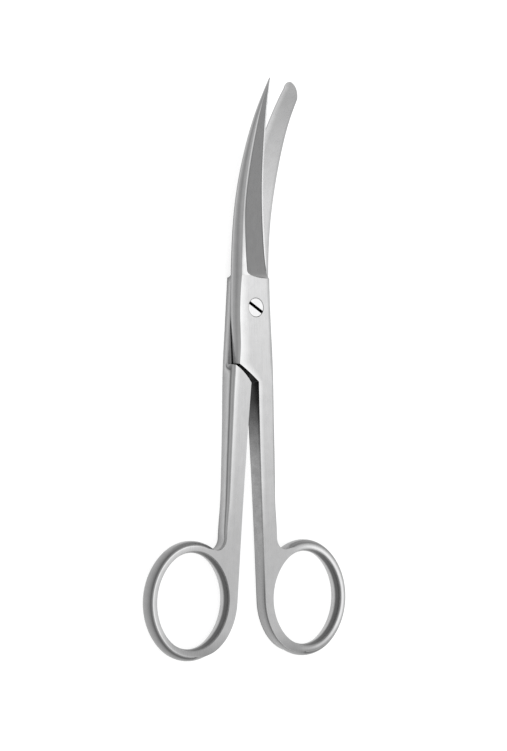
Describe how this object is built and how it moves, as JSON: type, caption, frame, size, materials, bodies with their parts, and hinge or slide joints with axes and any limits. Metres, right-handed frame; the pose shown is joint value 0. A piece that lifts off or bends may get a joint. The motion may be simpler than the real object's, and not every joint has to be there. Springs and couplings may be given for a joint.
{
  "type": "dissecting scissors",
  "caption": "Curved dissecting scissors with one sharp and one blunt tip, slotted joint screw and oval finger rings.",
  "frame": {"origin": "on the joint axis at the back face of the joint, where the instrument rests", "axes": "+Y along the instrument to the tips, +Z along the joint axis out of the screw head, +X to the side of the front half's ring"},
  "size_m": [0.0622, 0.1422, 0.0141],
  "materials": {
    "satin_steel_front": "satin ground stainless steel",
    "satin_steel_back": "satin ground stainless steel",
    "screw_steel": "satin stainless steel"
  },
  "bodies": {
    "back_body": {"blunt_half": "satin_steel_back", "joint_screw": "screw_steel"},
    "front_body": {"sharp_half": "satin_steel_front"}
  },
  "joints": [
    {"name": "scissor_joint", "type": "hinge", "parent": "back_body", "child": "front_body", "pos_m": [0, 0, 0.0027], "axis": [0, 0, 1], "range_deg": [-6.9, 70]}
  ]
}
